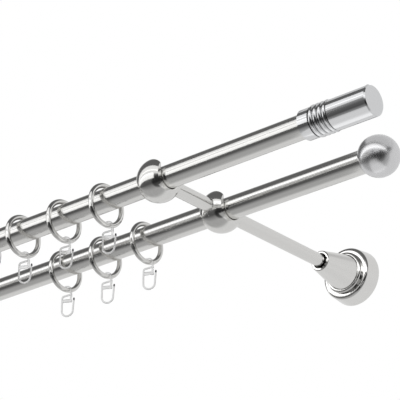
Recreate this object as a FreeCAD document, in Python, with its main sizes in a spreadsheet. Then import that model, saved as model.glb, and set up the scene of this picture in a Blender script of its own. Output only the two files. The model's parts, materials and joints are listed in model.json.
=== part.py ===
"""Double curtain pole: two steel tubes on ball brackets, with finials, rings and hooks.

Millimetres. +X runs along the tubes, +Y into the wall and +Z up. The origin lies on the
wall, midway between the two brackets and level with their arms.
"""

import FreeCAD, Part
import math
import os

import Sketcher
from FreeCAD import Placement, Rotation, Vector

doc = FreeCAD.newDocument("DoubleCurtainPole")

SIZES = {
    # tubes and their places
    "tube_diameter": 16.0,
    "tube_wall": 1.0,
    "tube_length": 1200.0,
    "pole_spacing": 64.0,
    "wall_distance": 155.0,
    "bracket_inset": 135.0,
    "tube_clearance": 0.1,
    # ball cradle: a ball thicker than the tube all round, flat on two sides, slotted from the top
    "cradle_thickness": 7.0,
    "cradle_width": 18.8,
    "cradle_clearance": 0.25,
    "slot_round": 0.9,
    # arm rods with turned spigots
    "rod_diameter": 9.6,
    "rod_seat_depth": 1.6,
    "spigot_diameter": 6.0,
    "spigot_long": 8.0,
    "spigot_short": 3.4,
    "spigot_clearance": 0.1,
    "spigot_end_gap": 0.4,
    # wall plate
    "plate_diameter": 33.0,
    "plate_thickness": 4.0,
    "boss_diameter": 13.0,
    "boss_height": 14.0,
    "fixing_hole": 4.5,
    "fixing_head": 8.0,
    "fixing_spacing": 23.0,
    "fixing_sink": 1.9,
    # rosette cover: a cone on a stepped disc, hollow from behind
    "cover_diameter": 42.0,
    "cover_front_diameter": 39.8,
    "cover_side": 10.9,
    "outer_rim": 2.5,
    "step_diameter": 31.2,
    "step_side": 1.2,
    "inner_rim": 1.7,
    "cone_base_diameter": 27.0,
    "cone_tip_diameter": 15.6,
    "cover_height": 44.0,
    "cover_wall": 2.0,
    "cover_bore": 11.8,
    "lip_round": 0.9,
    # cylinder finial: a thin sleeve over the tube, with beads and a knob little wider than it
    "sleeve_socket_depth": 13.5,
    "sleeve_wall": 1.9,
    "sleeve_length": 8.0,
    "groove_depth": 0.4,
    "bead_rise": 0.65,
    "bead_pitch": 3.5,
    "bead_width": 2.8,
    "bead_count": 4,
    "knob_rise": 0.25,
    "knob_length": 29.4,
    "knob_chamfer": 0.8,
    # ball finial
    "ball_socket_depth": 15.0,
    "ball_wall": 5.9,
    "ball_mouth_wall": 0.6,
    # headless screws
    "cradle_screw": 4.0,
    "cradle_screw_length": 6.0,
    "cradle_screw_angle": 35.0,
    "cover_screw": 3.0,
    "cover_screw_length": 4.0,
    "finial_screw": 3.0,
    "sleeve_screw_length": 1.7,
    "sleeve_screw_place": 4.0,
    "ball_screw_length": 4.5,
    "ball_screw_place": 5.0,
    "screw_clearance": 0.1,
    "screw_tip_gap": 0.05,
    "key_share": 0.5,
    # rings: the play is how far a ring could be lifted from its seat on the tube
    "ring_play": 4.3,
    "ring_wire": 3.6,
    "ring_seat_gap": 0.3,
    "ring_turn": -3.5,
    "ring_pitch": 39.5,
    "front_ring_place": 47.2,
    "rear_ring_place": 68.3,
    "front_ring_count": 4,
    "rear_ring_count": 3,
    # hooks: an eye open on one side, a closed loop and a long bend with a free arm
    "hook_turn": 26.0,
    "hook_place": 8.0,
    "hook_length": 24.25,
    "strand": 1.3,
    "eye_strand": 1.1,
    "eye_radius": 3.3,
    "eye_gap": 0.45,
    "eye_start": 192.0,
    "eye_sweep": 193.0,
    "bend_radius": 4.15,
    "bend_shift": 0.75,
    "arm_lean": 4.0,
    "tip_drop": 8.0,
    "tip_length": 1.5,
    "tip_end": 0.8,
    "shoulder_drop": 4.45,
    "shoulder_angle": 12.0,
    "shoulder_round": 1.8,
    "loop_thickness": 1.1,
    "bar_width": 1.3,
    "bar_top_drop": 1.6,
    "crossbar_drop": 7.4,
    "crossbar_height": 2.2,
}

TOUCH = 0.001

sheet = doc.addObject("Spreadsheet::Sheet", "Sizes")
for row, (alias, number) in enumerate(SIZES.items(), start=1):
    sheet.set(f"A{row}", alias)
    sheet.set(f"B{row}", str(number))
    sheet.setAlias(f"B{row}", alias)
doc.recompute()

# places that several pieces share, as formulas of the sheet
TUBE_R = "Sizes.tube_diameter / 2"
REAR_Y = "-Sizes.wall_distance"
FRONT_Y = "-Sizes.wall_distance - Sizes.pole_spacing"
BRACKET_X = "(Sizes.tube_length / 2 - Sizes.bracket_inset)"
FINIAL_X = "(Sizes.tube_length / 2)"
FINIAL_BORE_R = f"({TUBE_R} + Sizes.tube_clearance)"
CRADLE_BORE_R = f"({TUBE_R} + Sizes.cradle_clearance)"
CRADLE_BALL_R = f"({TUBE_R} + Sizes.cradle_thickness)"
ROD_SEAT = f"({CRADLE_BALL_R} - Sizes.rod_seat_depth)"
WIRE_R = "Sizes.ring_wire / 2"
RING_R = f"({TUBE_R} + Sizes.ring_play + {WIRE_R})"
RING_TOP_Z = f"({TUBE_R} + Sizes.ring_seat_gap + {WIRE_R})"


def size(expression):
    """The number that a formula of the sheet gives."""
    found = sheet.evalExpression(expression)
    return float(getattr(found, "Value", found))


def bind(piece, **formulas):
    """Tie properties of an object to formulas; a double underscore stands for a dot."""
    for name, formula in formulas.items():
        piece.setExpression(name.replace("__", "."), formula)


def put(piece, x="0", y="0", z="0", rotation=None):
    """Place an object by formulas, with a fixed rotation where one is given."""
    piece.Placement = Placement(Vector(), rotation or Rotation())
    bind(piece, Placement__Base__x=x, Placement__Base__y=y, Placement__Base__z=z)


def new_body(label):
    """An empty body whose label is the node's name."""
    body = doc.addObject("PartDesign::Body", label)
    body.Label = label
    return body


def origin_plane(body, role):
    """One of the body's own origin planes, found by its role."""
    return next(item for item in body.Origin.OriginFeatures if item.Role == role)


def new_sketch(body, role, name):
    """A sketch on one of the body's own origin planes."""
    sketch = body.newObject("Sketcher::SketchObject", name)
    sketch.AttachmentSupport = [(origin_plane(body, role), "")]
    sketch.MapMode = "FlatFace"
    return sketch


def hold(sketch, constraint, formula):
    """Add a constraint with a value and tie it to a formula."""
    index = sketch.addConstraint(constraint)
    sketch.setExpression(f"Constraints[{index}]", formula)


def pin(sketch, edge, end, x, y):
    """Fix one end of an edge at a point given by two formulas."""
    for kind, formula, axis in (("DistanceX", x, -2), ("DistanceY", y, -1)):
        if formula == "0":
            sketch.addConstraint(Sketcher.Constraint("PointOnObject", edge, end, axis))
        else:
            value = size(formula)
            hold(sketch, Sketcher.Constraint(kind, -1, 1, edge, end, value), formula)


def draw_outline(sketch, corners):
    """Draw a closed outline of straight edges through corners given by formulas.

    A corner with a third entry starts a round edge to the next corner: the entry holds the
    radius as a formula and the centre as two formulas. A sketch may hold several outlines.
    """
    first = sketch.GeometryCount
    spots = [Vector(size(corner[0]), size(corner[1]), 0) for corner in corners]
    for number, corner in enumerate(corners):
        start, end = spots[number], spots[(number + 1) % len(corners)]
        if len(corner) == 2:
            sketch.addGeometry(Part.LineSegment(start, end))
            continue
        radius, centre_x, centre_y = corner[2]
        centre = Vector(size(centre_x), size(centre_y), 0)
        angles = [math.atan2(spot.y - centre.y, spot.x - centre.x) for spot in (start, end)]
        turn = (angles[1] - angles[0]) % (2 * math.pi)
        circle = Part.Circle(centre, Vector(0, 0, 1), size(radius))
        if turn > math.pi:
            angles.reverse()
        sketch.addGeometry(Part.ArcOfCircle(circle, *angles))
    ends = []
    for number, corner in enumerate(corners):
        backwards = len(corner) == 3 and round_edge_is_clockwise(corner, spots, number)
        ends.append((2, 1) if backwards else (1, 2))
    for number, corner in enumerate(corners):
        after = (number + 1) % len(corners)
        edge = first + number
        pin(sketch, edge, ends[number][0], corner[0], corner[1])
        join = ("Coincident", edge, ends[number][1], first + after, ends[after][0])
        sketch.addConstraint(Sketcher.Constraint(*join))
        if len(corner) == 3:
            radius = corner[2][0]
            hold(sketch, Sketcher.Constraint("Radius", edge, size(radius)), radius)


def round_edge_is_clockwise(corner, spots, number):
    """Whether a round edge runs clockwise, so that its arc is stored the other way round."""
    centre = Vector(size(corner[2][1]), size(corner[2][2]), 0)
    start = spots[number] - centre
    end = spots[(number + 1) % len(spots)] - centre
    turn = (math.atan2(end.y, end.x) - math.atan2(start.y, start.x)) % (2 * math.pi)
    return turn > math.pi


def revolve(body, corners, axis, kind="Revolution", name="Turned"):
    """Turn an outline in the XY plane a full turn about the sketch's H_Axis or V_Axis."""
    sketch = new_sketch(body, "XY_Plane", name + "Outline")
    draw_outline(sketch, corners)
    feature = body.newObject("PartDesign::" + kind, name)
    feature.Profile = sketch
    feature.ReferenceAxis = (sketch, [axis])
    feature.Angle = 360
    doc.recompute()
    return feature


def round_edges(body, name, radius, chosen):
    """Round those edges of the body's last solid for which chosen(edge) is true."""
    base = body.Tip
    names = [f"Edge{number}" for number, edge in enumerate(base.Shape.Edges, start=1)
             if edge.Length > TOUCH and chosen(edge)]
    fillet = body.newObject("PartDesign::Fillet", name)
    fillet.Base = (base, names)
    bind(fillet, Radius=radius)
    doc.recompute()


def pocket(body, sketch, name):
    """Cut a sketch right through the body, both ways from its plane."""
    cut = body.newObject("PartDesign::Pocket", name)
    cut.Profile = sketch
    cut.Type = "ThroughAll"
    cut.SideType = "Symmetric"
    doc.recompute()
    return cut


def drill(body, name, diameter, depth, x="0", y="0", z="0", axis=None, angle="0"):
    """Sink a round hole from a point along local +Z after a turn about an axis."""
    hole = body.newObject("PartDesign::SubtractiveCylinder", name)
    hole.AttachmentSupport = [(origin_plane(body, "XY_Plane"), "")]
    hole.MapMode = "FlatFace"
    hole.AttachmentOffset = Placement(Vector(), Rotation(axis or Vector(0, 0, 1), size(angle)))
    bind(hole, Radius=diameter + " / 2", Height=depth)
    bind(hole, AttachmentOffset__Base__x=x, AttachmentOffset__Base__y=y,
         AttachmentOffset__Base__z=z)
    if angle != "0":
        bind(hole, AttachmentOffset__Rotation__Angle=angle)
    doc.recompute()


def rectangle(x_low, y_low, x_high, y_high):
    """Four corners of a rectangle, as formulas."""
    return [(x_low, y_low), (x_high, y_low), (x_high, y_high), (x_low, y_high)]


# tubes

def build_tube(label, y):
    """A round tube centred on the origin's plane of symmetry."""
    body = new_body(label)
    sketch = new_sketch(body, "YZ_Plane", "Section")
    for number, radius in enumerate((TUBE_R, TUBE_R + " - Sizes.tube_wall")):
        sketch.addGeometry(Part.Circle(Vector(), Vector(0, 0, 1), size(radius)))
        sketch.addConstraint(Sketcher.Constraint("Coincident", number, 3, -1, 1))
        hold(sketch, Sketcher.Constraint("Radius", number, size(radius)), radius)
    pad = body.newObject("PartDesign::Pad", "Drawn")
    pad.Profile = sketch
    pad.SideType = "Symmetric"
    bind(pad, Length="Sizes.tube_length")
    put(body, y=y)


# finials: local +X points outwards, and the tube's end sits on the socket's floor at x = 0

def build_cylinder_finial(label, side):
    """A turned sleeve, four beads and a plain knob on one axis, bored for the tube."""
    body = new_body(label)
    start = "-Sizes.sleeve_socket_depth"
    bore = FINIAL_BORE_R
    sleeve = f"({bore} + Sizes.sleeve_wall)"
    groove = f"({sleeve} - Sizes.groove_depth)"
    bead = f"({sleeve} + Sizes.bead_rise)"
    knob = f"({sleeve} + Sizes.knob_rise)"
    rise = "(Sizes.groove_depth + Sizes.bead_rise)"
    arc = f"(({rise})^2 + (Sizes.bead_width / 2)^2) / 2 / ({rise})"
    beads_start = f"{start} + Sizes.sleeve_length"
    corners = [(start, bore), (start, sleeve), (beads_start, sleeve), (beads_start, groove)]
    beads = int(size("Sizes.bead_count"))
    for number in range(beads):
        low = f"{beads_start} + {number} * Sizes.bead_pitch"
        low += " + (Sizes.bead_pitch - Sizes.bead_width) / 2"
        middle = low + " + Sizes.bead_width / 2"
        high = low + " + Sizes.bead_width"
        corners.append((low, groove, (arc, middle, f"{bead} - {arc}")))
        corners.append((high, groove))
    body_start = f"{beads_start} + {beads} * Sizes.bead_pitch"
    body_end = f"{body_start} + Sizes.knob_length"
    corners += [
        (body_start, groove),
        (body_start, knob),
        (f"{body_end} - Sizes.knob_chamfer", knob),
        (body_end, f"{knob} - Sizes.knob_chamfer"),
        (body_end, "0"),
        ("0", "0"),
        ("0", bore),
    ]
    revolve(body, corners, "H_Axis")
    drill(body, "ScrewHole", "(Sizes.finial_screw + 2 * Sizes.screw_clearance)",
          f"2 * {sleeve}", x=f"{start} + Sizes.sleeve_screw_place",
          axis=Vector(1, 0, 0), angle="-90")
    put(body, x=f"{side} * {FINIAL_X}", y=FRONT_Y, rotation=finial_turn(side))


def build_ball_finial(label, side):
    """A ball cut flat where the tube goes in, bored for the tube."""
    body = new_body(label)
    start = "-Sizes.ball_socket_depth"
    bore = FINIAL_BORE_R
    ball = f"({bore} + Sizes.ball_wall)"
    mouth = f"({bore} + Sizes.ball_mouth_wall)"
    centre = f"{start} + sqrt(({ball})^2 - ({mouth})^2)"
    corners = [
        (start, bore),
        (start, mouth, (ball, centre, "0")),
        (f"{centre} + {ball}", "0"),
        ("0", "0"),
        ("0", bore),
    ]
    revolve(body, corners, "H_Axis")
    drill(body, "ScrewHole", "(Sizes.finial_screw + 2 * Sizes.screw_clearance)",
          f"2 * {ball}", x=f"{start} + Sizes.ball_screw_place",
          axis=Vector(1, 0, 0), angle="-90")
    put(body, x=f"{side} * {FINIAL_X}", y=REAR_Y, rotation=finial_turn(side))


def finial_turn(side):
    """A left finial is the right one turned half round about Y, so its screw faces the wall."""
    return Rotation(Vector(0, 1, 0), 180) if side < 0 else Rotation()


# brackets: local origin on the tube's axis, +Y towards the wall

def rod_socket_outline(sign):
    """Half outline of the stepped socket for a rod's end and its spigot, on the wall's side
    of the ball where the sign is empty and on the room's side where it is a minus.
    """
    rod = "Sizes.rod_diameter / 2 + Sizes.spigot_clearance"
    spigot = "Sizes.spigot_diameter / 2 + Sizes.spigot_clearance"
    seat = f"{sign}{ROD_SEAT}"
    floor = f"{sign}({ROD_SEAT} - Sizes.spigot_short - Sizes.spigot_end_gap)"
    outside = f"{sign}{CRADLE_BALL_R}"
    return [("0", floor), (spigot, floor), (spigot, seat), (rod, seat), (rod, outside),
            ("0", outside)]


def build_cradle(label, side, y, front_socket):
    """A ball flat on both sides and slotted from the top for the tube, with rod sockets."""
    body = new_body(label)
    ball = body.newObject("PartDesign::AdditiveSphere", "Ball")
    bind(ball, Radius=CRADLE_BALL_R)

    flats = new_sketch(body, "XY_Plane", "FlatsOutline")
    half, out = "Sizes.cradle_width / 2", f"(2 * {CRADLE_BALL_R})"
    for sign in ("", "-"):
        draw_outline(flats, rectangle(f"{sign}({half})", f"-{out}", f"{sign}{out}", out))
    pocket(body, flats, "SideFlats")

    slot = new_sketch(body, "YZ_Plane", "SlotOutline")
    bore = CRADLE_BORE_R
    draw_outline(slot, [
        (f"-{bore}", "0", (bore, "0", "0")),
        ("0", f"-{bore}", (bore, "0", "0")),
        (bore, "0"),
        (bore, out),
        (f"-{bore}", out),
    ])
    pocket(body, slot, "TubeSlot")

    flat_x, wall_y = size(half), size(bore)

    def slot_edge(edge):
        """Whether an edge runs round the slot: on a side flat or along the top of a cheek."""
        in_bore = all(abs(math.hypot(spot.y, min(spot.z, 0)) - wall_y) < TOUCH
                      for spot in edge.discretize(3))
        middle = edge.CenterOfMass
        on_flat = abs(abs(middle.x) - flat_x) < TOUCH
        on_cheek = abs(middle.x) < TOUCH and middle.z > TOUCH
        return in_bore and (on_flat or on_cheek)

    round_edges(body, "SlotRound", "Sizes.slot_round", slot_edge)

    revolve(body, rod_socket_outline(""), "V_Axis", "Groove", "BackSocket")
    if front_socket:
        revolve(body, rod_socket_outline("-"), "V_Axis", "Groove", "FrontSocket")
    drill(body, "ScrewHole", "(Sizes.cradle_screw + 2 * Sizes.screw_clearance)",
          out, axis=Vector(1, 0, 0), angle="Sizes.cradle_screw_angle - 90")
    put(body, x=f"{side} * {BRACKET_X}", y=y)


def build_rod(label, side, start, end, near_spigot, far_spigot):
    """A plain rod between two shoulders, with a smaller spigot at each end."""
    body = new_body(label)
    rod, spigot = "Sizes.rod_diameter / 2", "Sizes.spigot_diameter / 2"
    corners = [
        ("0", f"{start} - {near_spigot}"),
        (spigot, f"{start} - {near_spigot}"),
        (spigot, start),
        (rod, start),
        (rod, end),
        (spigot, end),
        (spigot, f"{end} + {far_spigot}"),
        ("0", f"{end} + {far_spigot}"),
    ]
    revolve(body, corners, "V_Axis")
    put(body, x=f"{side} * {BRACKET_X}")


def build_wall_plate(label, side):
    """A round plate with a boss for the rod and two countersunk holes, one above the other."""
    body = new_body(label)
    socket = "Sizes.spigot_diameter / 2 + Sizes.spigot_clearance"
    socket_floor = "-Sizes.boss_height + Sizes.spigot_long + Sizes.spigot_end_gap"
    corners = [
        ("0", "0"),
        ("Sizes.plate_diameter / 2", "0"),
        ("Sizes.plate_diameter / 2", "-Sizes.plate_thickness"),
        ("Sizes.boss_diameter / 2", "-Sizes.plate_thickness"),
        ("Sizes.boss_diameter / 2", "-Sizes.boss_height"),
        (socket, "-Sizes.boss_height"),
        (socket, socket_floor),
        ("0", socket_floor),
    ]
    revolve(body, corners, "V_Axis")
    for name, sign in (("Upper", ""), ("Lower", "-")):
        height = f"{sign}(Sizes.fixing_spacing / 2)"
        drill(body, name + "Hole", "Sizes.fixing_hole", "Sizes.plate_thickness",
              z=height, axis=Vector(1, 0, 0), angle="90")
        sink = body.newObject("PartDesign::SubtractiveCone", name + "Sink")
        sink.AttachmentSupport = [(origin_plane(body, "XY_Plane"), "")]
        sink.MapMode = "FlatFace"
        sink.AttachmentOffset = Placement(Vector(), Rotation(Vector(1, 0, 0), -90))
        bind(sink, Radius1="Sizes.fixing_head / 2", Radius2="Sizes.fixing_hole / 2",
             Height="Sizes.fixing_sink", AttachmentOffset__Base__y="-Sizes.plate_thickness",
             AttachmentOffset__Base__z=height)
        doc.recompute()
    put(body, x=f"{side} * {BRACKET_X}")


def build_cover(label, side):
    """The rosette cover: a stepped disc and a cone in one turned shell, open to the wall."""
    body = new_body(label)
    side_r, front_r = "Sizes.cover_diameter / 2", "Sizes.cover_front_diameter / 2"
    step_r, base_r = "Sizes.step_diameter / 2", "Sizes.cone_base_diameter / 2"
    tip_r, bore_r = "Sizes.cone_tip_diameter / 2", "Sizes.cover_bore / 2"
    rim_y = "-Sizes.cover_side"
    ledge_y = f"{rim_y} - Sizes.outer_rim"
    step_y = f"{ledge_y} - Sizes.step_side"
    base_y = f"{step_y} - Sizes.inner_rim"
    tip_y = "-Sizes.cover_height"
    wall = "Sizes.cover_wall"
    lip = "Sizes.lip_round"
    corners = [
        (side_r, "0"),
        (front_r, rim_y, ("Sizes.outer_rim", f"{front_r} - Sizes.outer_rim", rim_y)),
        (f"{front_r} - Sizes.outer_rim", ledge_y),
        (step_r, ledge_y),
        (step_r, step_y, ("Sizes.inner_rim", f"{step_r} - Sizes.inner_rim", step_y)),
        (f"{step_r} - Sizes.inner_rim", base_y),
        (base_r, base_y),
        (tip_r, f"{tip_y} + {lip}", (lip, f"{tip_r} - {lip}", f"{tip_y} + {lip}")),
        (f"{tip_r} - {lip}", tip_y),
        (bore_r, tip_y),
        (bore_r, f"{tip_y} + 2 * {wall}"),
        (f"{base_r} - {wall}", base_y),
        (f"{base_r} - {wall}", f"{ledge_y} + {wall}"),
        (f"{front_r} - {wall}", f"{ledge_y} + {wall}"),
        (f"{side_r} - {wall}", "0"),
    ]
    revolve(body, corners, "V_Axis")
    drill(body, "ScrewHole", "(Sizes.cover_screw + 2 * Sizes.screw_clearance)",
          "Sizes.cover_diameter", y="-Sizes.plate_thickness / 2")
    put(body, x=f"{side} * {BRACKET_X}")


# headless screws with a hexagon socket: local +Z points outwards, the tip is at the origin

def build_screw(name, diameter, length):
    """One headless screw, made where it stands once it is placed."""
    shank = doc.addObject("Part::Cylinder", name + "Shank")
    bind(shank, Radius=f"{diameter} / 2", Height=length)
    key = doc.addObject("Part::Prism", name + "Key")
    key.Polygon = 6
    bind(key, Circumradius=f"{diameter} / 2 * Sizes.key_share / cos(30)",
         Height=f"{length} / 2", Placement__Base__z=f"{length} / 2")
    screw = doc.addObject("Part::Cut", name)
    screw.Base, screw.Tool = shank, key
    return screw


def build_screw_group(label, diameter, length, places):
    """A group of equal screws, each at (x, y, z, turn about X) given by formulas."""
    screws = []
    for number, (x, y, z, turn) in enumerate(places, start=1):
        screw = build_screw(f"{label}_{number}_", diameter, length)
        put(screw, x, y, z, Rotation(Vector(1, 0, 0), size(turn)))
        screws.append(screw)
    group = doc.addObject("Part::Compound", label)
    group.Label = label
    group.Links = screws


def build_screws():
    """All headless screws: one per cradle, one per cover and one per finial."""
    start = f"({TUBE_R} + Sizes.screw_tip_gap)"
    angle = "Sizes.cradle_screw_angle"
    cradle_places = [
        (f"{side} * {BRACKET_X}", f"{y} + {start} * cos({angle})", f"{start} * sin({angle})",
         f"{angle} - 90")
        for side in (-1, 1) for y in (FRONT_Y, REAR_Y)
    ]
    build_screw_group("cradle_grub_screws", "Sizes.cradle_screw", "Sizes.cradle_screw_length",
                      cradle_places)
    cover_places = [
        (f"{side} * {BRACKET_X}", "-Sizes.plate_thickness / 2",
         "Sizes.plate_diameter / 2 + Sizes.screw_tip_gap", "0")
        for side in (-1, 1)
    ]
    build_screw_group("cover_grub_screws", "Sizes.cover_screw", "Sizes.cover_screw_length",
                      cover_places)
    for finial, kind, y in (("cylinder", "sleeve", FRONT_Y), ("ball", "ball", REAR_Y)):
        place = f"({FINIAL_X} - Sizes.{kind}_socket_depth + Sizes.{kind}_screw_place)"
        places = [(f"{side} * {place}", f"{y} + {start}", "0", "-90") for side in (-1, 1)]
        build_screw_group(f"{finial}_finial_grub_screws", "Sizes.finial_screw",
                          f"Sizes.{kind}_screw_length", places)


# rings and hooks

def build_ring(label, x, y):
    """A round wire ring whose top inside hangs on the tube, turned a little to one side."""
    body = new_body(label)
    sketch = new_sketch(body, "XY_Plane", "WireSection")
    sketch.addGeometry(Part.Circle(Vector(0, size(RING_R), 0), Vector(0, 0, 1), size(WIRE_R)))
    pin(sketch, 0, 3, "0", RING_R)
    hold(sketch, Sketcher.Constraint("Radius", 0, size(WIRE_R)), WIRE_R)
    turned = body.newObject("PartDesign::Revolution", "Wire")
    turned.Profile = sketch
    turned.ReferenceAxis = (sketch, ["H_Axis"])
    doc.recompute()
    put(body, x=x, y=y, z=f"{RING_TOP_Z} - {RING_R}",
        rotation=Rotation(Vector(0, 0, 1), size("Sizes.ring_turn")))


# hooks: local origin at the middle of the ring's wire, the bend in the local XZ plane

EYE_Z = f"({WIRE_R} + Sizes.eye_gap + Sizes.eye_strand / 2 - Sizes.eye_radius)"
BEND_Z = f"({WIRE_R} + Sizes.eye_gap + Sizes.eye_strand - Sizes.hook_length" \
         " + Sizes.strand / 2 + Sizes.bend_radius)"
ARM_FOOT_Z = f"({BEND_Z} - Sizes.bend_radius * sin(Sizes.arm_lean))"
TIP_X = "(Sizes.bend_shift + Sizes.bend_radius * cos(Sizes.arm_lean)" \
        f" + (-Sizes.tip_drop - {ARM_FOOT_Z}) * tan(Sizes.arm_lean))"
LONG_ARM_X = "(Sizes.bend_shift - Sizes.bend_radius)"
SHOULDER_END_Z = "(Sizes.eye_radius * tan(Sizes.shoulder_angle) - Sizes.shoulder_drop)"


def draw_strand_path(body):
    """The strand's middle line: free arm, bend, long arm and shoulder."""
    bend_r, corner_r = size("Sizes.bend_radius"), size("Sizes.shoulder_round")
    lean = math.radians(size("Sizes.arm_lean"))
    rise = math.radians(size("Sizes.shoulder_angle"))
    tip = Vector(size(TIP_X), -size("Sizes.tip_drop"), 0)
    bend_centre = Vector(size("Sizes.bend_shift"), size(BEND_Z), 0)
    foot = bend_centre + Vector(bend_r * math.cos(lean), -bend_r * math.sin(lean), 0)
    shoulder_end = Vector(size("Sizes.eye_radius"), size(SHOULDER_END_Z), 0)
    along = Vector(math.cos(rise), math.sin(rise), 0)
    arm_x = size(LONG_ARM_X)
    corner = shoulder_end + along * ((arm_x - shoulder_end.x) / along.x)
    cut = corner_r * math.tan((math.pi / 2 - rise) / 2)
    arm_end = corner - Vector(0, cut, 0)
    up = Vector(0, 0, 1)
    bend = Part.Circle(bend_centre, up, bend_r)
    turn = Part.Circle(arm_end + Vector(corner_r, 0, 0), up, corner_r)

    sketch = new_sketch(body, "XZ_Plane", "StrandPath")
    sketch.addGeometry([
        Part.LineSegment(tip, foot),
        Part.ArcOfCircle(bend, -math.pi, -lean),
        Part.LineSegment(Vector(arm_x, bend_centre.y, 0), arm_end),
        Part.ArcOfCircle(turn, math.pi / 2 + rise, math.pi),
        Part.LineSegment(corner + along * cut, shoulder_end),
    ])
    pin(sketch, 0, 1, TIP_X, "-Sizes.tip_drop")
    sketch.addConstraint([
        Sketcher.Constraint("Tangent", 0, 2, 1, 2),
        Sketcher.Constraint("Tangent", 1, 1, 2, 1),
        Sketcher.Constraint("Vertical", 2),
        Sketcher.Constraint("Tangent", 2, 2, 3, 2),
        Sketcher.Constraint("Tangent", 3, 1, 4, 1),
    ])
    hold(sketch, Sketcher.Constraint("Radius", 1, bend_r), "Sizes.bend_radius")
    hold(sketch, Sketcher.Constraint("DistanceY", -1, 1, 1, 3, bend_centre.y), BEND_Z)
    hold(sketch, Sketcher.Constraint("Radius", 3, corner_r), "Sizes.shoulder_round")
    pin(sketch, 4, 2, "Sizes.eye_radius", SHOULDER_END_Z)
    hold(sketch, Sketcher.Constraint("Angle", 4, rise), "Sizes.shoulder_angle * 1 deg")
    return sketch


def round_section(body, name, radius, x):
    """A round section whose centre lies on the sketch's own X axis."""
    sketch = new_sketch(body, "XY_Plane", name)
    sketch.addGeometry(Part.Circle(Vector(size(x), 0, 0), Vector(0, 0, 1), size(radius)))
    if x == "0":
        sketch.addConstraint(Sketcher.Constraint("Coincident", 0, 3, -1, 1))
    else:
        pin(sketch, 0, 3, x, "0")
    hold(sketch, Sketcher.Constraint("Radius", 0, size(radius)), radius)
    return sketch


def lean_out(piece, degrees, x="0", z="0"):
    """Shift an attached piece in the XZ plane and turn it about Y, by formulas."""
    piece.AttachmentOffset = Placement(Vector(), Rotation(Vector(0, 1, 0), size(degrees)))
    bind(piece, AttachmentOffset__Base__x=x, AttachmentOffset__Base__z=z,
         AttachmentOffset__Rotation__Angle=degrees)


def add_eye(body):
    """The eye over the ring's wire, from its open end on one side to the loop's bar."""
    section = round_section(body, "EyeSection", "Sizes.eye_strand / 2", "Sizes.eye_radius")
    lean_out(section, "Sizes.eye_start", z=EYE_Z)
    eye = body.newObject("PartDesign::Revolution", "Eye")
    eye.Profile = section
    eye.ReferenceAxis = (section, ["V_Axis"])
    bind(eye, Angle="Sizes.eye_sweep")
    doc.recompute()


def add_strand(body):
    """The bent strand with its pointed tip."""
    path = draw_strand_path(body)
    section = round_section(body, "StrandSection", "Sizes.strand / 2", "0")
    lean_out(section, "Sizes.arm_lean", x=TIP_X, z="-Sizes.tip_drop")
    strand = body.newObject("PartDesign::AdditivePipe", "Strand")
    strand.Profile = section
    strand.Spine = (path, [])
    doc.recompute()
    tip = body.newObject("PartDesign::AdditiveCone", "Tip")
    tip.AttachmentSupport = [(origin_plane(body, "XY_Plane"), "")]
    tip.MapMode = "FlatFace"
    bind(tip, Radius1="Sizes.strand / 2", Radius2="Sizes.tip_end / 2", Height="Sizes.tip_length")
    lean_out(tip, "Sizes.arm_lean", x=TIP_X, z="-Sizes.tip_drop")
    doc.recompute()


def add_loop(body):
    """The flat crossbar and the upright bar that close the loop under the eye."""
    sketch = new_sketch(body, "XZ_Plane", "LoopOutline")
    high, low = "-Sizes.crossbar_drop", "-Sizes.crossbar_drop - Sizes.crossbar_height"
    inner = "Sizes.eye_radius - Sizes.bar_width / 2"
    outer = "Sizes.eye_radius + Sizes.bar_width / 2"
    draw_outline(sketch, [
        (LONG_ARM_X, low),
        (outer, low),
        (outer, "-Sizes.bar_top_drop"),
        (inner, "-Sizes.bar_top_drop"),
        (inner, high),
        (LONG_ARM_X, high),
    ])
    pad = body.newObject("PartDesign::Pad", "Loop")
    pad.Profile = sketch
    pad.SideType = "Symmetric"
    bind(pad, Length="Sizes.loop_thickness")
    doc.recompute()


def build_hook(label, x, y):
    """A moulded hook: an eye over the ring's wire, a closed loop below it and a long bend."""
    body = new_body(label)
    add_strand(body)
    add_loop(body)
    add_eye(body)
    along = f"{RING_R} * sin(Sizes.hook_place)"
    put(body, x=f"{x} - {along} * sin(Sizes.ring_turn)",
        y=f"{y} + {along} * cos(Sizes.ring_turn)",
        z=f"{RING_TOP_Z} - {RING_R} - {RING_R} * cos(Sizes.hook_place)",
        rotation=Rotation(Vector(0, 0, 1), size("Sizes.hook_turn")))


def build_rings_and_hooks(row, y):
    """A row of rings on one tube, numbered from left to right, with a hook on each."""
    a_side = range(int(size(f"Sizes.{row}_ring_count")))
    places = [f"(Sizes.{row}_ring_place + {number} * Sizes.ring_pitch)" for number in a_side]
    spots = [f"({place} - {BRACKET_X})" for place in places]
    spots += [f"({BRACKET_X} - {place})" for place in reversed(places)]
    for number, x in enumerate(spots, start=1):
        build_ring(f"{row}_ring_{number}", x, y)
        build_hook(f"{row}_hook_{number}", x, y)


build_tube("front_tube", FRONT_Y)
build_tube("rear_tube", REAR_Y)
for name, side in (("left", -1), ("right", 1)):
    build_cylinder_finial(f"cylinder_finial_{name}", side)
    build_ball_finial(f"ball_finial_{name}", side)
    build_cradle(f"front_cradle_{name}", side, FRONT_Y, front_socket=False)
    build_cradle(f"rear_cradle_{name}", side, REAR_Y, front_socket=True)
    build_rod(f"front_rod_{name}", side, f"{FRONT_Y} + {ROD_SEAT}", f"{REAR_Y} - {ROD_SEAT}",
              "Sizes.spigot_short", "Sizes.spigot_short")
    build_rod(f"rear_rod_{name}", side, f"{REAR_Y} + {ROD_SEAT}", "-Sizes.boss_height",
              "Sizes.spigot_short", "Sizes.spigot_long")
    build_wall_plate(f"wall_plate_{name}", side)
    build_cover(f"rosette_cover_{name}", side)
build_screws()
build_rings_and_hooks("front", FRONT_Y)
build_rings_and_hooks("rear", REAR_Y)
doc.recompute()

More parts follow.
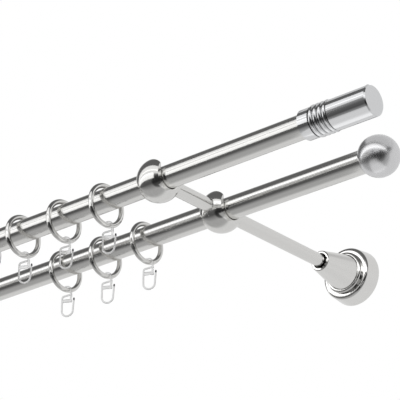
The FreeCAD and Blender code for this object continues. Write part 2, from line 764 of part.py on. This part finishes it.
NODES = [item for item in doc.Objects if item.TypeId in ("PartDesign::Body", "Part::Compound")]

for item in doc.Objects:
    if "Invalid" in item.State or "Error" in item.State:
        raise RuntimeError(f"{item.Name} failed: {item.State}")
for node in NODES:
    if node.Shape.isNull() or not node.Shape.isValid():
        raise RuntimeError(f"{node.Label} has no valid shape")

os.makedirs("parts", exist_ok=True)
for node in NODES:
    node.Shape.exportStep(f"parts/{node.Label}.step")
    print(node.Label, len(node.Shape.Solids), round(node.Shape.Volume, 1))
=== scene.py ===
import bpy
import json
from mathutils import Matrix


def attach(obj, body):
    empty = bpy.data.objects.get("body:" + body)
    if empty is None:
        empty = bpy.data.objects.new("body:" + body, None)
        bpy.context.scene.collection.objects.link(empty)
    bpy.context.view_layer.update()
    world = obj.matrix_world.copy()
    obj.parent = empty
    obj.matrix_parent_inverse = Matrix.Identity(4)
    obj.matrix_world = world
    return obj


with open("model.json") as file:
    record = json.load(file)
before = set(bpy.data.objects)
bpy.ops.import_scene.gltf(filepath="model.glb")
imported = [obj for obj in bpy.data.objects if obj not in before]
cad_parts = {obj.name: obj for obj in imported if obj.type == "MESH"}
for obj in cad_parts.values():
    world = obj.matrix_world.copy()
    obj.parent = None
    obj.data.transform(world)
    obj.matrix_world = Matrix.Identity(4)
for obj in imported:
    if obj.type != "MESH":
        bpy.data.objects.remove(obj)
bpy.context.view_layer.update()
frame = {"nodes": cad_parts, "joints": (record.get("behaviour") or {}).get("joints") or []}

"""Looks of the double curtain pole: finishes, hook tips, light and camera.

Metres. +X runs along the tubes, +Y into the wall and +Z up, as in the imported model. The bare
metal shows little but what it mirrors, so the studio is set out by angles round the tubes' own
line: 0 degrees towards the wall, 90 up, 180 away from the wall and 270 down.
"""

import json
import logging
import math
from dataclasses import dataclass
from enum import Enum

import bmesh
import bpy
from mathutils import Matrix, Vector

LOG = logging.getLogger("curtain_pole")
MM = 0.001

BRACKET_X = 465.0 * MM
FRONT_Y = -219.0 * MM

NOISE_LOW = 0.3
NOISE_HIGH = 0.7
WHITE = (1.0, 1.0, 1.0, 1.0)


class MathStep(Enum):
    """Operations of a Math node."""

    ABSOLUTE = "ABSOLUTE"
    ARCTAN2 = "ARCTAN2"
    DIVIDE = "DIVIDE"
    FRACT = "FRACT"
    GREATER_THAN = "GREATER_THAN"
    MAXIMUM = "MAXIMUM"
    MULTIPLY = "MULTIPLY"
    PINGPONG = "PINGPONG"
    SUBTRACT = "SUBTRACT"


class NodeTree:
    """A short way of adding and joining shader nodes in one tree."""

    def __init__(self, tree: bpy.types.NodeTree) -> None:
        """Keeps the tree and empties it.

        Args:
            tree: the tree of a material or a world.
        """
        self.tree = tree
        tree.nodes.clear()

    def add(self, kind: str, inputs: dict | None = None, **settings: object) -> bpy.types.Node:
        """Adds a node, sets its properties and fills or links its inputs.

        Args:
            kind: the node's type name.
            inputs: socket name or index to a constant or to another node's output.
            settings: properties of the node.

        Returns:
            The new node.
        """
        node = self.tree.nodes.new(kind)
        for name, value in settings.items():
            setattr(node, name, value)
        for key, value in (inputs or {}).items():
            if isinstance(value, bpy.types.NodeSocket):
                self.tree.links.new(value, node.inputs[key])
            else:
                node.inputs[key].default_value = value
        return node

    def step(self, operation: MathStep, *values: object) -> bpy.types.NodeSocket:
        """Adds a Math node.

        Args:
            operation: what it does.
            values: constants or sockets, in order.

        Returns:
            The node's output.
        """
        inputs = dict(enumerate(values))
        return self.add("ShaderNodeMath", inputs, operation=operation.value).outputs[0]

    def remap(self, source: bpy.types.NodeSocket, before: tuple[float, float],
              after: tuple[float, float], smooth: bool = False) -> bpy.types.NodeSocket:
        """Adds a Map Range node.

        Args:
            source: the value to map.
            before: its low and high ends.
            after: what they become.
            smooth: whether the ends are eased.

        Returns:
            The mapped value.
        """
        interpolation = "SMOOTHSTEP" if smooth else "LINEAR"
        inputs = {0: source, 1: before[0], 2: before[1], 3: after[0], 4: after[1]}
        return self.add("ShaderNodeMapRange", inputs, interpolation_type=interpolation).outputs[0]

    def ramp(self, source: bpy.types.NodeSocket,
             stops: list[tuple[float, float]]) -> bpy.types.NodeSocket:
        """Adds a colour ramp of greys.

        Args:
            source: the factor.
            stops: (place, grey) pairs from low to high.

        Returns:
            The ramp's colour output.
        """
        node = self.add("ShaderNodeValToRGB", {0: source})
        elements = node.color_ramp.elements
        while len(elements) < len(stops):
            elements.new(0.5)
        for element, (place, grey) in zip(elements, stops):
            element.position = place
            element.color = (grey, grey, grey, 1.0)
        return node.outputs[0]

    def object_coordinates(self) -> bpy.types.NodeSocket:
        """Adds the Object coordinates, which are the model's own metres."""
        return self.add("ShaderNodeTexCoord").outputs["Object"]


@dataclass(frozen=True)
class Metal:
    """A bare metal with fine grain.

    Attributes:
        name: the material's name.
        color: base colour.
        roughness: mean roughness.
        spread: how far the grain moves the roughness either way.
        grain: cells of grain per metre along X, Y and Z.
        bump: height of the grain in metres.
        anisotropic: stretch of the highlight.
        detail: octaves of the grain.
        tone_spread: how far the grain moves the colour either way.
    """

    name: str
    color: tuple[float, float, float]
    roughness: float
    spread: float
    grain: tuple[float, float, float]
    bump: float = 0.0
    anisotropic: float = 0.0
    detail: float = 4.0
    tone_spread: float = 0.03

    def build(self) -> bpy.types.Material:
        """Makes the material.

        Returns:
            The new material.
        """
        material = bpy.data.materials.new(self.name)
        material.use_nodes = True
        nodes = NodeTree(material.node_tree)
        place = nodes.object_coordinates()
        stretched = nodes.add("ShaderNodeMapping", {0: place, 3: self.grain}).outputs[0]
        noise = nodes.add("ShaderNodeTexNoise", {
            "Vector": stretched, "Scale": 1.0, "Detail": self.detail, "Roughness": 0.6}).outputs[0]
        rough = nodes.remap(noise, (NOISE_LOW, NOISE_HIGH),
                            (self.roughness - self.spread, self.roughness + self.spread))
        tone = nodes.remap(noise, (NOISE_LOW, NOISE_HIGH),
                           (1.0 - self.tone_spread, 1.0 + self.tone_spread))
        # Painted shade, where a finish has any, scales the colour here.
        tone = nodes.step(MathStep.MULTIPLY, tone, self.shade(nodes, place))
        color = nodes.add("ShaderNodeVectorMath", {0: self.color, 3: tone}, operation="SCALE").outputs[0]
        inputs = {"Base Color": color, "Metallic": 1.0, "Roughness": rough,
                  "Anisotropic": self.anisotropic}
        if self.bump:
            inputs["Normal"] = nodes.add("ShaderNodeBump", {
                "Strength": 1.0, "Distance": self.bump, "Height": noise}).outputs[0]
        shader = nodes.add("ShaderNodeBsdfPrincipled", inputs)
        nodes.add("ShaderNodeOutputMaterial", {0: shader.outputs[0]})
        return material

    def shade(self, nodes: NodeTree, place: bpy.types.NodeSocket) -> float | bpy.types.NodeSocket:
        """Says how much of the colour is left after painted shade, which is all of it on a plain metal.
        """
        return 1.0


@dataclass(frozen=True)
class GrooveShadedMetal(Metal):
    """A bare metal with painted shade darkening the grooves between its beads.

    Attributes:
        start: distance of the first groove from the middle of the set, along X.
        pitch: from groove to groove.
        count: number of grooves.
        reach: half of a groove's width.
        left: share of the colour left in a groove by the painted shade.
    """

    start: float = 594.5 * MM
    pitch: float = 3.5 * MM
    count: int = 5
    reach: float = 0.45 * MM
    left: float = 0.18

    def shade(self, nodes: NodeTree, place: bpy.types.NodeSocket) -> float | bpy.types.NodeSocket:
        """Darkens the grooves with painted shade.

        Args:
            nodes: the material's nodes.
            place: the Object coordinates.

        Returns:
            The share of the colour left after the painted shade.
        """
        x = nodes.add("ShaderNodeSeparateXYZ", {0: place}).outputs[0]
        along = nodes.step(MathStep.ABSOLUTE, x)
        middle = self.start + self.pitch * (self.count - 1) / 2
        from_middle = nodes.step(MathStep.ABSOLUTE, nodes.step(MathStep.SUBTRACT, along, middle))
        outside = nodes.step(MathStep.GREATER_THAN, from_middle, self.pitch * self.count / 2)
        from_start = nodes.step(MathStep.SUBTRACT, along, self.start)
        nearest = nodes.step(MathStep.PINGPONG, from_start, self.pitch / 2)
        # Painted shade: the colour in each groove drops to `left` of itself, standing in for the shade
        # between the beads.
        groove_shade_share = nodes.remap(nearest, (self.reach / 3, self.reach), (self.left, 1.0))
        return nodes.step(MathStep.MAXIMUM, groove_shade_share, outside)


@dataclass(frozen=True)
class Plastic:
    """Moulded plastic, clear or dark.

    Attributes:
        name: the material's name.
        color: tint of the body.
        roughness: of the moulded skin.
        transmission: share of light that goes through.
        spread: how far the skin's roughness goes either way, as a share of it.
        grain: cells of the skin's unevenness per metre.
        refraction: index of refraction.
    """

    name: str
    color: tuple[float, float, float]
    roughness: float
    transmission: float
    spread: float = 0.4
    grain: float = 900.0
    refraction: float = 1.46

    def build(self) -> bpy.types.Material:
        """Makes the material.

        Returns:
            The new material.
        """
        material = bpy.data.materials.new(self.name)
        material.use_nodes = True
        nodes = NodeTree(material.node_tree)
        noise = nodes.add("ShaderNodeTexNoise", {
            "Vector": nodes.object_coordinates(), "Scale": self.grain, "Detail": 3.0}).outputs[0]
        rough = nodes.remap(noise, (NOISE_LOW, NOISE_HIGH),
                            (self.roughness * (1.0 - self.spread), self.roughness * (1.0 + self.spread)))
        shader = nodes.add("ShaderNodeBsdfPrincipled", {
            "Base Color": (*self.color, 1.0), "Roughness": rough, "IOR": self.refraction,
            "Transmission Weight": self.transmission})
        nodes.add("ShaderNodeOutputMaterial", {0: shader.outputs[0]})
        return material


TUBE = Metal("tube brushed steel", (0.76, 0.755, 0.74), 0.17, 0.05, (5.0, 2600.0, 2600.0),
             bump=0.003 * MM, anisotropic=0.3)
CRADLE = Metal("cradle polished nickel", (0.76, 0.755, 0.74), 0.12, 0.03, (700.0, 700.0, 700.0))
COVER = Metal("cover polished nickel", (0.78, 0.775, 0.76), 0.09, 0.03, (900.0, 900.0, 900.0))
ROD = Metal("rod satin nickel", (0.77, 0.765, 0.75), 0.15, 0.04, (2400.0, 8.0, 2400.0))
# The cylinder finials' metal carries painted shade in the grooves between the beads.
CYLINDER = GrooveShadedMetal("cylinder brushed steel with painted groove shade", (0.75, 0.755, 0.765), 0.10, 0.05,
                        (14.0, 2200.0, 2200.0), bump=0.003 * MM, anisotropic=0.3)
BALL = Metal("ball brushed steel", (0.74, 0.74, 0.75), 0.27, 0.06, (300.0, 2200.0, 2200.0),
             bump=0.004 * MM)
PLATE = Metal("plate zinc", (0.6, 0.6, 0.6), 0.45, 0.06, (900.0, 900.0, 900.0))
SCREW = Metal("screw steel", (0.32, 0.32, 0.33), 0.4, 0.05, (2000.0, 2000.0, 2000.0))
RING = Metal("ring polished nickel", (0.76, 0.755, 0.74), 0.025, 0.01, (600.0, 600.0, 600.0))
HOOK = Plastic("hook clear plastic", (0.99, 0.99, 0.99), 0.06, 0.9)
TIP = Plastic("hook tip dark plastic", (0.03, 0.03, 0.035), 0.25, 0.0)


@dataclass(frozen=True)
class PackedSet:
    """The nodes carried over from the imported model, by the start of their names.

    Attributes:
        dresses: (starts of names, finish) pairs.
    """

    dresses: tuple[tuple[tuple[str, ...], Metal | Plastic], ...] = (
        (("front_tube", "rear_tube"), TUBE),
        (("front_cradle", "rear_cradle"), CRADLE),
        (("rosette_cover",), COVER),
        (("front_rod", "rear_rod"), ROD),
        (("cylinder_finial_left", "cylinder_finial_right"), CYLINDER),
        (("ball_finial_left", "ball_finial_right"), BALL),
        (("wall_plate",), PLATE),
        (("cradle_grub", "cover_grub", "cylinder_finial_grub", "ball_finial_grub"), SCREW),
        (("front_ring", "rear_ring"), RING),
        (("front_hook", "rear_hook"), HOOK),
    )

    def dress(self) -> None:
        """Gives every node its finish."""
        for starts, finish in self.dresses:
            material = finish.build()
            names = [name for name in frame["nodes"] if name.startswith(starts)]
            for name in names:
                for slot in frame["nodes"][name].material_slots:
                    slot.material = material
            LOG.info("%s on %d nodes", finish.name, len(names))


@dataclass(frozen=True)
class HookTip:
    """The dark moulded point on a hook's free arm.

    The hook's own origin is the middle of the ring's wire, and its bend lies in a plane turned
    about Z.

    Attributes:
        turn: of the hook's plane about Z, degrees.
        lean: of the free arm away from upright, degrees.
        foot: middle of the cap's lower end in the hook's plane, (across, up).
        height: of the cap.
        wide: radius of the lower end.
        narrow: radius of the upper end.
        sides: of the cone that the cap starts from.
        round_over: how much the upper rim is rounded.
        blunting: how much the lower rim is.
        crease: the angle past which an edge stays sharp, degrees.
    """

    turn: float = 26.0
    lean: float = 4.0
    foot: tuple[float, float] = (5.50 * MM, -8.0 * MM)
    height: float = 1.62 * MM
    wide: float = 0.70 * MM
    narrow: float = 0.46 * MM
    sides: int = 20
    round_over: float = 0.2 * MM
    blunting: float = 0.05 * MM
    crease: float = 40.0

    def model(self) -> bpy.types.Object:
        """Models the cap once, at a hook whose origin is the frame's origin.

        Returns:
            The cap.
        """
        bpy.ops.object.select_all(action="DESELECT")
        bpy.ops.mesh.primitive_cone_add(vertices=self.sides, radius1=self.wide, radius2=self.narrow,
                                        depth=self.height, location=(0.0, 0.0, self.height / 2))
        cap = bpy.context.object
        bpy.ops.object.transform_apply(location=True, rotation=True, scale=True)
        bpy.ops.object.mode_set(mode="EDIT")
        self.select_level(cap, self.height)
        bpy.ops.mesh.bevel(offset=self.round_over, segments=3, affect="EDGES")
        self.select_level(cap, 0.0)
        bpy.ops.mesh.bevel(offset=self.blunting, segments=1, affect="EDGES")
        bpy.ops.mesh.select_all(action="SELECT")
        bpy.ops.transform.rotate(value=math.radians(-self.lean), orient_axis="Y",
                                 center_override=(0.0, 0.0, 0.0))
        bpy.ops.object.mode_set(mode="OBJECT")
        bpy.ops.object.shade_smooth_by_angle(angle=math.radians(self.crease))
        return cap

    @staticmethod
    def select_level(cap: bpy.types.Object, height: float, slack: float = 0.001 * MM) -> None:
        """Selects the edges that lie at a height, in edit mode.

        Args:
            cap: the object in edit mode.
            height: of the edges.
            slack: how far off an edge may be.
        """
        mesh = bmesh.from_edit_mesh(cap.data)
        for edge in mesh.edges:
            edge.select_set(all(abs(vertex.co.z - height) < slack for vertex in edge.verts))
        mesh.select_flush_mode()
        bmesh.update_edit_mesh(cap.data)

    def place_all(self, material: bpy.types.Material) -> None:
        """Copies the cap to every hook and lets it ride there.

        Args:
            material: of the caps.
        """
        pattern = self.model()
        pattern.data.materials.append(material)
        across, up = self.foot
        turned = Matrix.Rotation(math.radians(self.turn), 4, "Z")
        hooks = [joint for joint in frame["joints"] if "_hook_" in joint["child"]]
        for joint in hooks:
            cap = bpy.data.objects.new(joint["child"] + "_tip", pattern.data.copy())
            bpy.context.scene.collection.objects.link(cap)
            place = Matrix.Translation(Vector(joint["pos_m"]))
            cap.data.transform(place @ turned @ Matrix.Translation((across, 0.0, up)))
            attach(cap, joint["child"])
        bpy.data.objects.remove(pattern)
        LOG.info("%d hook tips", len(hooks))


def towards(azimuth: float, elevation: float) -> Vector:
    """Turns a pair of viewing angles into a direction.

    Args:
        azimuth: round from the front, degrees, towards +X.
        elevation: above the level, degrees.

    Returns:
        The unit vector from the set towards the viewer.
    """
    side, rise = math.radians(azimuth), math.radians(elevation)
    return Vector((math.sin(side) * math.cos(rise), -math.cos(side) * math.cos(rise), math.sin(rise)))


@dataclass(frozen=True)
class SoftBox:
    """A soft studio light that shows in the bare metal alone.

    Attributes:
        name: of the light.
        middle: its middle, metres.
        turn: its turn about X from shining straight down, degrees.
        size: its width and height before the turn, metres.
        glow: its brightness, against 1 for white.
    """

    name: str
    middle: tuple[float, float, float]
    turn: float
    size: tuple[float, float]
    glow: float

    def build(self) -> None:
        """Makes the light."""
        width, height = self.size
        data = bpy.data.lights.new(self.name, "AREA")
        data.shape = "RECTANGLE"
        data.size = width
        data.size_y = height
        data.energy = math.pi * width * height * self.glow
        light = bpy.data.objects.new(self.name, data)
        light.location = self.middle
        light.rotation_euler = (math.radians(self.turn), 0.0, 0.0)
        light.visible_camera = False
        light.visible_diffuse = False
        light.visible_transmission = False
        bpy.context.scene.collection.objects.link(light)
        LOG.info("soft box %s", self.name)


@dataclass(frozen=True)
class Surround:
    """The room as the metal mirrors it, with plain white behind the set.

    Attributes:
        bands: (degrees round the tubes' line, grey) pairs.
        dark_towards: azimuth and elevation of the unlit side, where the camera stands, degrees.
        dark_reach: how far the unlit side spreads, degrees.
        dark_left: share of the light left in its middle.
    """

    bands: tuple[tuple[float, float], ...] = (
        (0, 0.78), (52, 0.76), (62, 0.20), (90, 0.13), (128, 0.14), (143, 0.20), (150, 0.90),
        (162, 0.95), (170, 0.30), (190, 0.12), (212, 0.09), (226, 0.27), (243, 0.44), (272, 0.45),
        (284, 0.54), (290, 0.72), (302, 0.78), (330, 0.76), (360, 0.78))
    dark_towards: tuple[float, float] = (36.0, -25.0)
    dark_reach: float = 38.0
    dark_left: float = 0.25

    def build(self) -> None:
        """Makes the world."""
        world = bpy.data.worlds.new("studio")
        bpy.context.scene.world = world
        world.use_nodes = True
        nodes = NodeTree(world.node_tree)
        direction = nodes.add("ShaderNodeTexCoord").outputs["Generated"]
        parts = nodes.add("ShaderNodeSeparateXYZ", {0: direction}).outputs
        angle = nodes.step(MathStep.ARCTAN2, parts[2], parts[1])
        turn = nodes.step(MathStep.FRACT, nodes.step(MathStep.DIVIDE, angle, 2 * math.pi))
        bands = nodes.ramp(turn, [(degrees / 360.0, grey) for degrees, grey in self.bands])
        near = nodes.add("ShaderNodeVectorMath", {0: direction, 1: towards(*self.dark_towards)},
                         operation="DOT_PRODUCT").outputs["Value"]
        edge = math.cos(math.radians(self.dark_reach))
        share = nodes.remap(near, (edge, (1.0 + edge) / 2), (1.0, self.dark_left), smooth=True)
        mirrored = nodes.add("ShaderNodeBackground", {0: bands, 1: share}).outputs[0]
        behind = nodes.add("ShaderNodeBackground", {0: WHITE, 1: 1.0}).outputs[0]
        seen = nodes.add("ShaderNodeLightPath").outputs["Is Camera Ray"]
        mixed = nodes.add("ShaderNodeMixShader", {0: seen, 1: mirrored, 2: behind}).outputs[0]
        nodes.add("ShaderNodeOutputWorld", {0: mixed})
        LOG.info("surround of %d bands", len(self.bands))


@dataclass(frozen=True)
class Floor:
    """A plain pale floor far below the set, which the metal doesn't mirror.

    Attributes:
        height: of the floor.
        size: of its side.
        color: of its paint.
        roughness: of its paint.
    """

    height: float = -0.9
    size: float = 12.0
    color: tuple[float, float, float, float] = (0.86, 0.86, 0.85, 1.0)
    roughness: float = 0.9

    def build(self) -> None:
        """Makes the floor."""
        bpy.ops.mesh.primitive_plane_add(size=self.size, location=(0.0, 0.0, self.height))
        floor = bpy.context.object
        floor.name = "floor"
        floor.visible_glossy = False
        material = bpy.data.materials.new("floor pale")
        material.use_nodes = True
        shader = material.node_tree.nodes["Principled BSDF"]
        shader.inputs["Base Color"].default_value = self.color
        shader.inputs["Roughness"].default_value = self.roughness
        floor.data.materials.append(material)
        LOG.info("floor at %.1f m", self.height)


@dataclass(frozen=True)
class KeyLight:
    """One large soft light above and in front, which the metal doesn't mirror.

    Attributes:
        place: where it hangs.
        turn: about X from shining straight down, degrees.
        size: of its side.
        watts: its power.
    """

    place: tuple[float, float, float] = (0.2, -1.2, 1.6)
    turn: float = 38.0
    size: float = 1.4
    watts: float = 20.0

    def build(self) -> None:
        """Makes the light."""
        data = bpy.data.lights.new("key", "AREA")
        data.energy = self.watts
        data.size = self.size
        light = bpy.data.objects.new("key", data)
        light.location = self.place
        light.rotation_euler = (math.radians(self.turn), 0.0, 0.0)
        light.visible_glossy = False
        bpy.context.scene.collection.objects.link(light)
        LOG.info("key light")


@dataclass(frozen=True)
class Camera:
    """The camera at the photograph's viewing angle.

    Attributes:
        azimuth: degrees.
        elevation: degrees.
        distance: from the camera to the front cradle along the view.
        aside: how far it stands right of and above the front cradle.
        lens: focal length, millimetres.
        sensor: width, millimetres.
        far: how far it sees, metres.
    """

    azimuth: float = 40.36
    elevation: float = -25.10
    distance: float = 1214.9 * MM
    aside: tuple[float, float] = (26.90 * MM, -12.75 * MM)
    lens: float = 166.5
    sensor: float = 36.0
    far: float = 50.0

    def build(self) -> None:
        """Sets the camera."""
        back = towards(self.azimuth, self.elevation)
        turn = math.radians(self.azimuth)
        right = Vector((math.cos(turn), math.sin(turn), 0.0))
        up = back.cross(right)
        cradle = Vector((BRACKET_X, FRONT_Y, 0.0))
        spot = cradle + back * self.distance + right * self.aside[0] + up * self.aside[1]
        data = bpy.data.cameras.new("camera")
        data.lens = self.lens
        data.sensor_width = self.sensor
        data.clip_end = self.far
        camera = bpy.data.objects.new("camera", data)
        bpy.context.scene.collection.objects.link(camera)
        camera.matrix_world = Matrix((
            (right.x, up.x, back.x, spot.x),
            (right.y, up.y, back.y, spot.y),
            (right.z, up.z, back.z, spot.z),
            (0.0, 0.0, 0.0, 1.0),
        ))
        bpy.context.scene.camera = camera
        LOG.info("camera at %.2f, %.2f degrees", self.azimuth, self.elevation)


@dataclass(frozen=True)
class Studio:
    """Surround, floor, camera and lights.

    Attributes:
        soft_boxes: the lights that the metal mirrors.
    """

    soft_boxes: tuple[SoftBox, ...] = (
        SoftBox("strip_in_front_above", (0.0, -0.372, 0.15), 90.0, (2.6, 0.14), 0.85),
        SoftBox("strip_in_front", (-0.395, -0.372, 0.0055), 90.0, (1.81, 0.071), 1.0),
        SoftBox("box_over_finials", (0.663, -0.165, 0.1), 0.0, (0.274, 0.13), 0.48),
        SoftBox("box_under_finials", (0.584, -0.21, -0.1), 180.0, (0.116, 0.18), 0.34),
    )

    def build(self) -> None:
        """Builds all of the studio."""
        bpy.context.scene.view_settings.view_transform = "Standard"
        Surround().build()
        Floor().build()
        Camera().build()
        KeyLight().build()
        for soft_box in self.soft_boxes:
            soft_box.build()


def main() -> None:
    """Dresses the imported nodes, adds the hook tips and builds the studio."""
    logging.basicConfig(level=logging.INFO, format="%(message)s")
    PackedSet().dress()
    HookTip().place_all(TIP.build())
    Studio().build()


if __name__ == "__main__":
    main()
